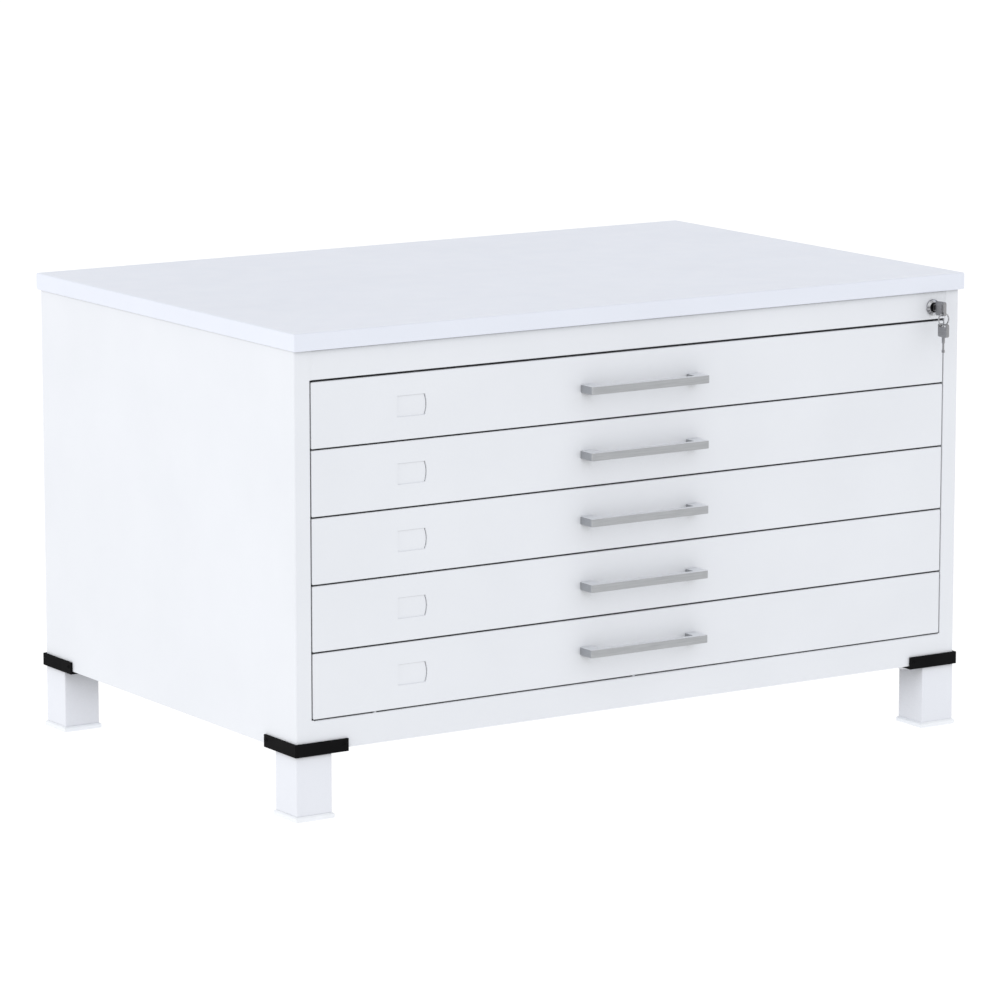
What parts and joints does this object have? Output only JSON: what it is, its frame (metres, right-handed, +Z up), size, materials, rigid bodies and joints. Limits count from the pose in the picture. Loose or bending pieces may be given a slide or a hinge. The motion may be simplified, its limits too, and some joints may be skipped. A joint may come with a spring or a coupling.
{
  "type": "flat file cabinet",
  "caption": "Low steel flat file cabinet on square legs: shallow roller drawers for large sheets, bow handles, label pockets, a flat worktop and a key lock with a bar that holds the drawers.",
  "frame": {"origin": "on the floor, under the middle of the object's box", "axes": "+X to the right seen from the front, +Y to the back, +Z up; the drawers open towards -Y"},
  "size_m": [1.01, 0.6776, 0.5995],
  "materials": {
    "white_powder_coat": "fine-textured satin powder coat",
    "black_steel": "matte black powder coat",
    "white_plastic": "moulded, satin",
    "zinc_plated_steel": "bright zinc plate",
    "satin_aluminium": "satin anodised",
    "chrome": "polished",
    "nickel": "nickel plated, rubbed",
    "dark_steel": "dark, satin"
  },
  "bodies": {
    "cabinet": {"worktop": "white_powder_coat", "side_panel_left": "white_powder_coat", "side_panel_right": "white_powder_coat", "back_panel": "white_powder_coat", "base_pan": "white_powder_coat", "top_rail": "white_powder_coat", "leg_front_left": "white_powder_coat", "foot_front_left": "white_plastic", "corner_bracket_front_left": "black_steel", "leg_front_right": "white_powder_coat", "foot_front_right": "white_plastic", "corner_bracket_front_right": "black_steel", "leg_back_left": "white_powder_coat", "foot_back_left": "white_plastic", "corner_bracket_back_left": "black_steel", "leg_back_right": "white_powder_coat", "foot_back_right": "white_plastic", "corner_bracket_back_right": "black_steel", "cabinet_runner_1_left": "zinc_plated_steel", "cabinet_runner_1_right": "zinc_plated_steel", "cabinet_runner_2_left": "zinc_plated_steel", "cabinet_runner_2_right": "zinc_plated_steel", "cabinet_runner_3_left": "zinc_plated_steel", "cabinet_runner_3_right": "zinc_plated_steel", "cabinet_runner_4_left": "zinc_plated_steel", "cabinet_runner_4_right": "zinc_plated_steel", "cabinet_runner_5_left": "zinc_plated_steel", "cabinet_runner_5_right": "zinc_plated_steel", "lock_housing": "chrome"},
    "drawer_1": {"drawer_front_1": "white_powder_coat", "drawer_tray_1": "white_powder_coat", "drawer_handle_1": "satin_aluminium", "drawer_runner_1_left": "zinc_plated_steel", "drawer_runner_1_right": "zinc_plated_steel"},
    "drawer_2": {"drawer_front_2": "white_powder_coat", "drawer_tray_2": "white_powder_coat", "drawer_handle_2": "satin_aluminium", "drawer_runner_2_left": "zinc_plated_steel", "drawer_runner_2_right": "zinc_plated_steel"},
    "drawer_3": {"drawer_front_3": "white_powder_coat", "drawer_tray_3": "white_powder_coat", "drawer_handle_3": "satin_aluminium", "drawer_runner_3_left": "zinc_plated_steel", "drawer_runner_3_right": "zinc_plated_steel"},
    "drawer_4": {"drawer_front_4": "white_powder_coat", "drawer_tray_4": "white_powder_coat", "drawer_handle_4": "satin_aluminium", "drawer_runner_4_left": "zinc_plated_steel", "drawer_runner_4_right": "zinc_plated_steel"},
    "drawer_5": {"drawer_front_5": "white_powder_coat", "drawer_tray_5": "white_powder_coat", "drawer_handle_5": "satin_aluminium", "drawer_runner_5_left": "zinc_plated_steel", "drawer_runner_5_right": "zinc_plated_steel"},
    "lock_core": {"lock_core": "dark_steel", "lock_cam": "zinc_plated_steel"},
    "lock_bar": {"lock_bar": "zinc_plated_steel"},
    "key": {"key": "nickel"},
    "key_ring": {"key_ring": "chrome"},
    "spare_key": {"spare_key": "nickel"}
  },
  "joints": [
    {"name": "drawer_1_slide", "type": "slide", "parent": "cabinet", "child": "drawer_1", "axis": [0, -1, 0], "range_m": [0, 0.48]},
    {"name": "drawer_2_slide", "type": "slide", "parent": "cabinet", "child": "drawer_2", "axis": [0, -1, 0], "range_m": [0, 0.48]},
    {"name": "drawer_3_slide", "type": "slide", "parent": "cabinet", "child": "drawer_3", "axis": [0, -1, 0], "range_m": [0, 0.48]},
    {"name": "drawer_4_slide", "type": "slide", "parent": "cabinet", "child": "drawer_4", "axis": [0, -1, 0], "range_m": [0, 0.48]},
    {"name": "drawer_5_slide", "type": "slide", "parent": "cabinet", "child": "drawer_5", "axis": [0, -1, 0], "range_m": [0, 0.48]},
    {"name": "lock_bar_lift", "type": "slide", "parent": "cabinet", "child": "lock_bar", "axis": [0, 0, 1], "range_m": [0, 0.011]},
    {"name": "lock_turn", "type": "hinge", "parent": "cabinet", "child": "lock_core", "pos_m": [0.4593, -0.3062, 0.5566], "axis": [0, -1, 0], "range_deg": [0, 90.1]},
    {"name": "key_withdrawal", "type": "slide", "parent": "lock_core", "child": "key", "axis": [0, -1, 0], "range_m": [0, 0.03]},
    {"name": "key_ring_swing", "type": "hinge", "parent": "key", "child": "key_ring", "pos_m": [0.4593, -0.3297, 0.5514], "axis": [1, 0, 0], "range_deg": [-100, 12]},
    {"name": "spare_key_swing", "type": "hinge", "parent": "key_ring", "child": "spare_key", "pos_m": [0.4593, -0.3297, 0.5352], "axis": [1, 0, 0], "range_deg": [-100, 8]}
  ],
  "couplings": [
    {"joint": "lock_turn", "follows": "lock_bar_lift", "rad_per_m": 142.86}
  ]
}
